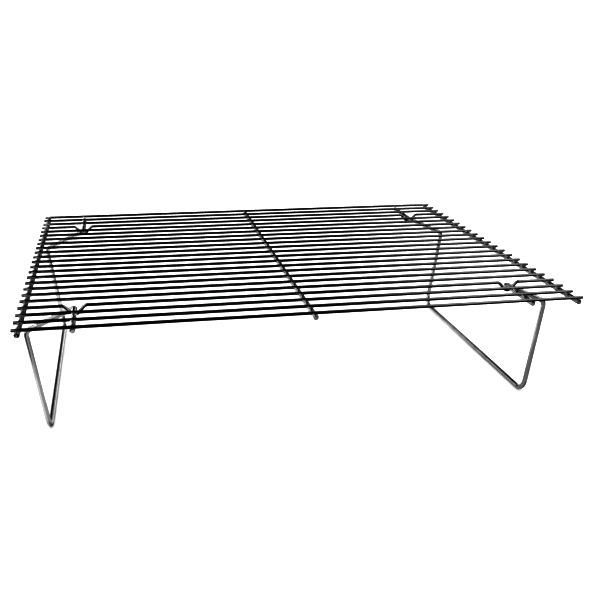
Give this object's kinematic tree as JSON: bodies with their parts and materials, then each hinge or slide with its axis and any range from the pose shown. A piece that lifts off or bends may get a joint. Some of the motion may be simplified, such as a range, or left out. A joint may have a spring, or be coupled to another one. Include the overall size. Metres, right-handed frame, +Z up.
{
  "type": "folding-leg wire grill grate",
  "caption": "Flat rectangular grate of straight wire rods on thicker cross rods, standing on two U-shaped wire legs that fold in underneath.",
  "frame": {"origin": "on the ground, under the middle of the grate", "axes": "+X along the long rods, +Y along the cross rods, +Z up"},
  "size_m": [0.4064, 0.3392, 0.1],
  "materials": {
    "plated_rod": "bright plated steel wire",
    "plated_cross_rod": "bright plated steel wire, slightly dulled by the welds",
    "plated_leg": "bright plated steel wire"
  },
  "bodies": {
    "grate": {"rod_01": "plated_rod", "rod_02": "plated_rod", "rod_03": "plated_rod", "rod_04": "plated_rod", "rod_05": "plated_rod", "rod_06": "plated_rod", "rod_07": "plated_rod", "rod_08": "plated_rod", "rod_09": "plated_rod", "rod_10": "plated_rod", "rod_11": "plated_rod", "rod_12": "plated_rod", "rod_13": "plated_rod", "rod_14": "plated_rod", "rod_15": "plated_rod", "rod_16": "plated_rod", "rod_17": "plated_rod", "rod_18": "plated_rod", "rod_19": "plated_rod", "rod_20": "plated_rod", "rod_21": "plated_rod", "rod_22": "plated_rod", "rod_23": "plated_rod", "cross_rod_left": "plated_cross_rod", "cross_rod_middle": "plated_cross_rod", "cross_rod_right": "plated_cross_rod"},
    "left_leg": {"leg_left": "plated_leg"},
    "right_leg": {"leg_right": "plated_leg"}
  },
  "joints": [
    {"name": "left_leg_fold", "type": "hinge", "parent": "grate", "child": "left_leg", "pos_m": [-0.1645, 0, 0.09555], "axis": [0, -1, 0], "range_deg": [-18, 103]},
    {"name": "right_leg_fold", "type": "hinge", "parent": "grate", "child": "right_leg", "pos_m": [0.1645, 0, 0.09555], "axis": [0, 1, 0], "range_deg": [-18, 103]}
  ]
}
